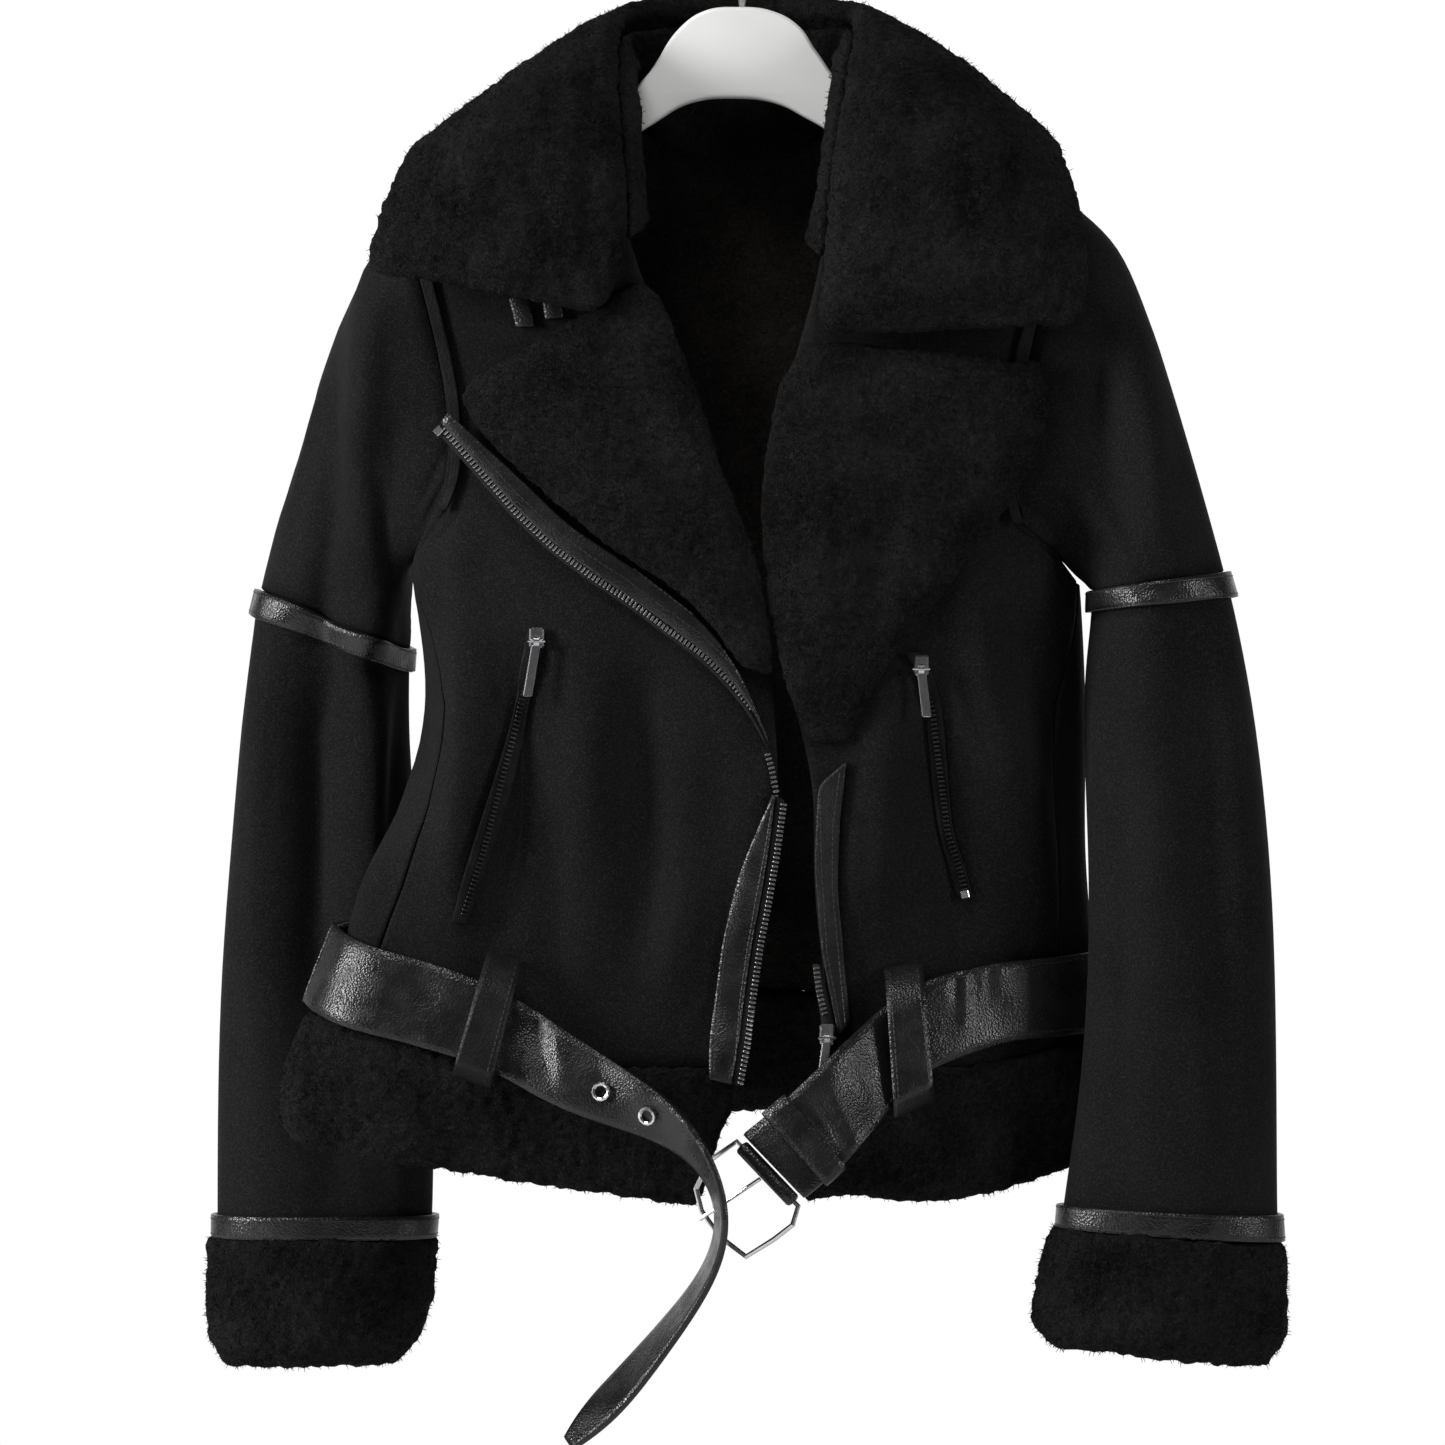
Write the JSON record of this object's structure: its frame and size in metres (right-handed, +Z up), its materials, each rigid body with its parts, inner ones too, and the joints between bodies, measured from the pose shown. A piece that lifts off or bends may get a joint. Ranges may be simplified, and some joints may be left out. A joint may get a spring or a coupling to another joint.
{
  "type": "sheepskin flying jacket on a hanger",
  "caption": "Open sheepskin jacket with fur collar, turned-out fronts, crooked zip and loose belt, hanging on a hanger.",
  "frame": {"origin": "where the rail touches the inside of the hanger's hook", "axes": "+Z up, -Y out of the jacket's front, +X towards the wearer's left"},
  "size_m": [0.594, 0.2335, 0.8496],
  "materials": {
    "suede": "matt nap, near black",
    "fur": "short curly fur, near black",
    "leather": "glossy grained",
    "tape": "woven",
    "metal": "polished nickel",
    "plastic": "smooth white"
  },
  "bodies": {
    "jacket": {"back": "suede", "front_right": "suede", "front_left": "suede", "side_panel_right": "suede", "side_panel_left": "suede", "sleeve_upper_right": "suede", "sleeve_upper_left": "suede", "sleeve_lower_right": "suede", "sleeve_lower_left": "suede", "collar": "fur", "collar_stand": "fur", "hem_fur_back": "fur", "revers_right": "fur", "revers_left": "fur", "hem_fur_right": "fur", "hem_fur_left": "fur", "cuff_right": "fur", "cuff_left": "fur", "armhole_strip_right": "leather", "armhole_strip_left": "leather", "belt_loop_right": "leather", "belt_loop_left": "leather", "belt_loop_back_right": "leather", "belt_loop_back_left": "leather", "elbow_band_right": "leather", "elbow_band_left": "leather", "wrist_strip_right": "leather", "wrist_strip_left": "leather", "pocket_zip_right": "leather", "pocket_zip_left": "leather", "belt_back": "leather", "belt_tail_side": "leather", "belt_buckle_side": "leather", "belt_keeper": "leather", "belt_end_wrap": "leather", "front_strip_left": "leather", "throat_tab_outer": "leather", "throat_tab_inner": "leather", "zip_strip_right_upper": "leather", "zip_strip_right_lower": "leather", "zip_tape_right_upper": "tape", "zip_tape_right_lower": "tape", "zip_tape_left": "tape", "zip_slider": "metal", "pocket_right_slider": "metal", "pocket_left_slider": "metal", "buckle_frame": "metal", "buckle_prong": "metal", "eyelet_outer": "metal", "eyelet_inner": "metal", "hanger_hook": "metal", "hanger": "plastic"},
    "zip_pull": {"zip_pull": "metal"},
    "pocket_right_pull": {"pocket_right_pull": "metal"},
    "pocket_left_pull": {"pocket_left_pull": "metal"}
  },
  "joints": [
    {"name": "zip_pull_swing", "type": "hinge", "parent": "jacket", "child": "zip_pull", "pos_m": [0.046, -0.06821, -0.624], "axis": [-1, 0, 0], "range_deg": [0, 30]},
    {"name": "pocket_right_pull_swing", "type": "hinge", "parent": "jacket", "child": "pocket_right_pull", "pos_m": [-0.1115, -0.06773, -0.409], "axis": [-1, 0, 0], "range_deg": [0, 80]},
    {"name": "pocket_left_pull_swing", "type": "hinge", "parent": "jacket", "child": "pocket_left_pull", "pos_m": [0.097, -0.06885, -0.424], "axis": [-1, 0, 0], "range_deg": [0, 80]}
  ]
}
